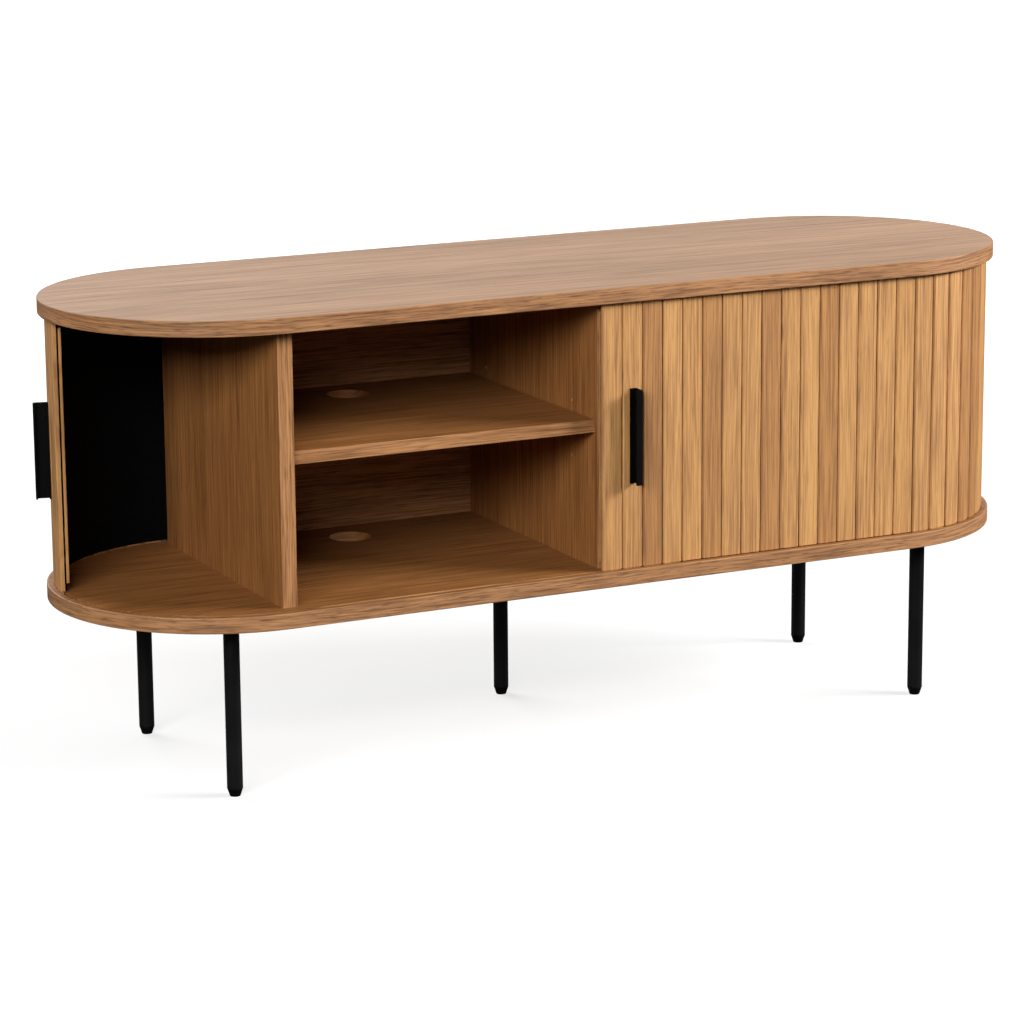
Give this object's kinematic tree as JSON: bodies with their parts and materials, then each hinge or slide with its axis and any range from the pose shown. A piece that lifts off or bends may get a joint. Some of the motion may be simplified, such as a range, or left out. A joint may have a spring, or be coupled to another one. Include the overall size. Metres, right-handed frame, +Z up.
{
  "type": "tv stand",
  "caption": "Low oval TV stand with slatted sliding doors that run round its rounded ends, an open shelf bay and round metal legs.",
  "frame": {"origin": "on the floor under the middle of the boards", "axes": "+X to the right end seen from the front, +Y to the back, +Z up"},
  "size_m": [1.2035, 0.409, 0.546],
  "materials": {
    "oak_board": "oak decor foil, matt",
    "oak_edge": "oak decor edge band, matt",
    "oak_slat": "oak, matt lacquer",
    "beech_dowel": "plain beech",
    "black_metal": "black powder coat, matt",
    "black_plastic": "matt moulded plastic",
    "zinc_steel": "zinc plated",
    "black_textile": "black woven backing cloth"
  },
  "bodies": {
    "cabinet": {"top_board": "oak_board", "bottom_board": "oak_board", "top_edge_band": "oak_edge", "bottom_edge_band": "oak_edge", "dowels": "beech_dowel", "confirmat_screws": "zinc_steel", "left_divider": "oak_board", "centre_divider": "oak_board", "right_divider": "oak_board", "left_back_panel": "oak_board", "right_back_panel": "oak_board", "left_shelf": "oak_board", "right_shelf": "oak_board", "left_shelf_pins": "zinc_steel", "right_shelf_pins": "zinc_steel", "leg_front_left": "black_metal", "leg_front_right": "black_metal", "leg_back_left": "black_metal", "leg_back_right": "black_metal", "leg_centre": "black_metal", "leg_plates": "black_metal", "leg_screws": "zinc_steel", "leg_feet": "black_plastic"},
    "left_door": {"left_door_slats": "oak_slat", "left_leading_batten": "oak_slat", "left_handle": "black_metal", "left_handle_screws": "black_metal", "left_door_textile": "black_textile"},
    "left_tail_1": {"left_tail_slats_1": "oak_slat"},
    "left_tail_2": {"left_tail_slats_2": "oak_slat"},
    "left_tail_3": {"left_tail_slats_3": "oak_slat"},
    "left_tail_4": {"left_tail_slats_4": "oak_slat"},
    "left_tail_5": {"left_tail_slats_5": "oak_slat"},
    "left_tail_6": {"left_tail_slats_6": "oak_slat"},
    "left_end": {"left_end_slats": "oak_slat"},
    "right_door": {"right_door_slats": "oak_slat", "right_leading_batten": "oak_slat", "right_handle": "black_metal", "right_handle_screws": "black_metal", "right_door_textile": "black_textile"},
    "right_middle_01": {"right_middle_slat_01": "oak_slat"},
    "right_middle_02": {"right_middle_slat_02": "oak_slat"},
    "right_middle_03": {"right_middle_slat_03": "oak_slat"},
    "right_middle_04": {"right_middle_slat_04": "oak_slat"},
    "right_middle_05": {"right_middle_slat_05": "oak_slat"},
    "right_middle_06": {"right_middle_slat_06": "oak_slat"},
    "right_middle_07": {"right_middle_slat_07": "oak_slat"},
    "right_middle_08": {"right_middle_slat_08": "oak_slat"},
    "right_middle_09": {"right_middle_slat_09": "oak_slat"},
    "right_middle_10": {"right_middle_slat_10": "oak_slat"},
    "right_middle_11": {"right_middle_slat_11": "oak_slat"},
    "right_middle_12": {"right_middle_slat_12": "oak_slat"},
    "right_end": {"right_end_slats": "oak_slat"}
  },
  "joints": [
    {"name": "left_door", "type": "hinge", "parent": "cabinet", "child": "left_door", "pos_m": [-0.4, 0, 0], "axis": [0, 0, 1], "range_deg": [0, 92], "deforming": ["left_door_textile"]},
    {"name": "left_tail_1", "type": "hinge", "parent": "cabinet", "child": "left_tail_1", "pos_m": [-0.38761, -0.01367, 0], "axis": [0, 0, 1], "range_deg": [0, 84.41]},
    {"name": "left_tail_2", "type": "hinge", "parent": "cabinet", "child": "left_tail_2", "pos_m": [-0.36161, -0.05642, 0], "axis": [0, 0, 1], "range_deg": [0, 68.47]},
    {"name": "left_tail_3", "type": "hinge", "parent": "cabinet", "child": "left_tail_3", "pos_m": [-0.33561, -0.13046, 0], "axis": [0, 0, 1], "range_deg": [0, 52.54]},
    {"name": "left_tail_4", "type": "hinge", "parent": "cabinet", "child": "left_tail_4", "pos_m": [-0.30961, -0.27327, 0], "axis": [0, 0, 1], "range_deg": [0, 36.61]},
    {"name": "left_tail_5", "type": "hinge", "parent": "cabinet", "child": "left_tail_5", "pos_m": [-0.28361, -0.63811, 0], "axis": [0, 0, 1], "range_deg": [0, 20.68]},
    {"name": "left_tail_6", "type": "hinge", "parent": "cabinet", "child": "left_tail_6", "pos_m": [-0.25761, -3.43879, 0], "axis": [0, 0, 1], "range_deg": [0, 4.74]},
    {"name": "left_end", "type": "slide", "parent": "cabinet", "child": "left_end", "axis": [-1, 0, 0], "range_m": [0, 0.30028]},
    {"name": "right_door", "type": "slide", "parent": "cabinet", "child": "right_door", "axis": [1, 0, 0], "range_m": [0, 0.30027], "deforming": ["right_door_textile"]},
    {"name": "right_middle_01", "type": "hinge", "parent": "cabinet", "child": "right_middle_01", "pos_m": [0.253, 8.77257, 0], "axis": [0, 0, 1], "range_deg": [0, 1.92]},
    {"name": "right_middle_02", "type": "hinge", "parent": "cabinet", "child": "right_middle_02", "pos_m": [0.266, 1.54934, 0], "axis": [0, 0, 1], "range_deg": [0, 9.89]},
    {"name": "right_middle_03", "type": "hinge", "parent": "cabinet", "child": "right_middle_03", "pos_m": [0.279, 0.77038, 0], "axis": [0, 0, 1], "range_deg": [0, 17.85]},
    {"name": "right_middle_04", "type": "hinge", "parent": "cabinet", "child": "right_middle_04", "pos_m": [0.292, 0.4712, 0], "axis": [0, 0, 1], "range_deg": [0, 25.82]},
    {"name": "right_middle_05", "type": "hinge", "parent": "cabinet", "child": "right_middle_05", "pos_m": [0.305, 0.31283, 0], "axis": [0, 0, 1], "range_deg": [0, 33.79]},
    {"name": "right_middle_06", "type": "hinge", "parent": "cabinet", "child": "right_middle_06", "pos_m": [0.318, 0.21501, 0], "axis": [0, 0, 1], "range_deg": [0, 41.75]},
    {"name": "right_middle_07", "type": "hinge", "parent": "cabinet", "child": "right_middle_07", "pos_m": [0.331, 0.14893, 0], "axis": [0, 0, 1], "range_deg": [0, 49.72]},
    {"name": "right_middle_08", "type": "hinge", "parent": "cabinet", "child": "right_middle_08", "pos_m": [0.344, 0.10169, 0], "axis": [0, 0, 1], "range_deg": [0, 57.69]},
    {"name": "right_middle_09", "type": "hinge", "parent": "cabinet", "child": "right_middle_09", "pos_m": [0.357, 0.06666, 0], "axis": [0, 0, 1], "range_deg": [0, 65.65]},
    {"name": "right_middle_10", "type": "hinge", "parent": "cabinet", "child": "right_middle_10", "pos_m": [0.37, 0.04009, 0], "axis": [0, 0, 1], "range_deg": [0, 73.62]},
    {"name": "right_middle_11", "type": "hinge", "parent": "cabinet", "child": "right_middle_11", "pos_m": [0.383, 0.0197, 0], "axis": [0, 0, 1], "range_deg": [0, 81.58]},
    {"name": "right_middle_12", "type": "hinge", "parent": "cabinet", "child": "right_middle_12", "pos_m": [0.396, 0.00403, 0], "axis": [0, 0, 1], "range_deg": [0, 89.55]},
    {"name": "right_end", "type": "hinge", "parent": "cabinet", "child": "right_end", "pos_m": [0.4, 0, 0], "axis": [0, 0, 1], "range_deg": [0, 92]}
  ],
  "couplings": [
    {"joint": "left_tail_1", "follows": "left_door", "ratio": 0.91744},
    {"joint": "left_tail_2", "follows": "left_door", "ratio": 0.74427},
    {"joint": "left_tail_3", "follows": "left_door", "ratio": 0.57109},
    {"joint": "left_tail_4", "follows": "left_door", "ratio": 0.39791},
    {"joint": "left_tail_5", "follows": "left_door", "ratio": 0.22473},
    {"joint": "left_tail_6", "follows": "left_door", "ratio": 0.051547},
    {"joint": "left_end", "follows": "left_door", "m_per_rad": 0.187},
    {"joint": "right_middle_01", "follows": "right_door", "rad_per_m": 0.1116},
    {"joint": "right_middle_02", "follows": "right_door", "rad_per_m": 0.57465},
    {"joint": "right_middle_03", "follows": "right_door", "rad_per_m": 1.0377},
    {"joint": "right_middle_04", "follows": "right_door", "rad_per_m": 1.5007},
    {"joint": "right_middle_05", "follows": "right_door", "rad_per_m": 1.9638},
    {"joint": "right_middle_06", "follows": "right_door", "rad_per_m": 2.4268},
    {"joint": "right_middle_07", "follows": "right_door", "rad_per_m": 2.8899},
    {"joint": "right_middle_08", "follows": "right_door", "rad_per_m": 3.3529},
    {"joint": "right_middle_09", "follows": "right_door", "rad_per_m": 3.816},
    {"joint": "right_middle_10", "follows": "right_door", "rad_per_m": 4.279},
    {"joint": "right_middle_11", "follows": "right_door", "rad_per_m": 4.7421},
    {"joint": "right_middle_12", "follows": "right_door", "rad_per_m": 5.2051},
    {"joint": "right_end", "follows": "right_door", "rad_per_m": 5.3476}
  ]
}
